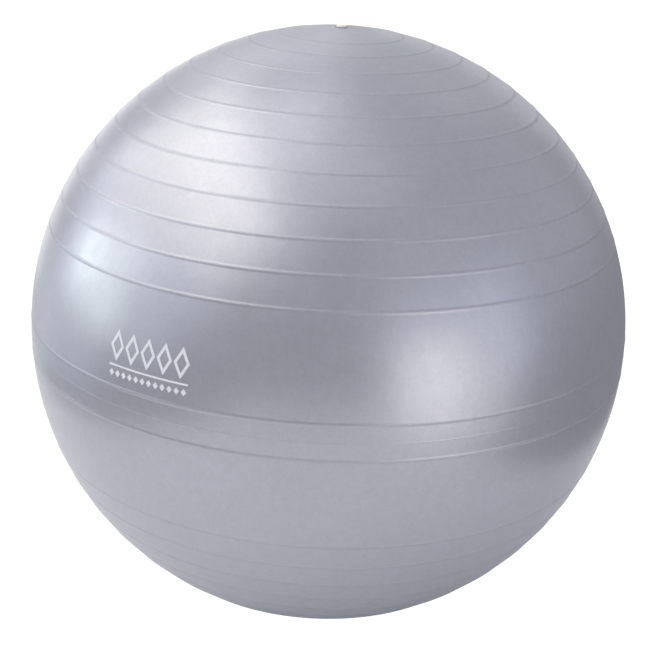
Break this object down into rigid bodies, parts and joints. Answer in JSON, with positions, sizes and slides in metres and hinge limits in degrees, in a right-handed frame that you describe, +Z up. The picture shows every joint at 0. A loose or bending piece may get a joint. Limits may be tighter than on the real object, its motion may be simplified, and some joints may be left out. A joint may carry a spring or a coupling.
{
  "type": "exercise ball",
  "caption": "Inflatable anti-burst exercise ball with raised grip ribs, a clear printed band and a pull-out valve plug at the pole.",
  "frame": {"origin": "middle of the flat patch where the ball rests on the floor", "axes": "+Z up along the valve axis from the floor to the valve; -Y towards the printed mark"},
  "size_m": [0.6504, 0.6504, 0.6517],
  "materials": {
    "skin_pvc": "satin",
    "seat_pvc": "satin",
    "plug_plastic": "satin",
    "print_ink": "satin"
  },
  "bodies": {
    "ball": {"ball_skin": "skin_pvc", "valve_seat": "seat_pvc", "print_mark": "print_ink"},
    "plug": {"valve_plug": "plug_plastic"}
  },
  "joints": [
    {"name": "plug_pull", "type": "slide", "parent": "ball", "child": "plug", "axis": [0, 0, 1], "range_m": [0, 0.03]}
  ]
}
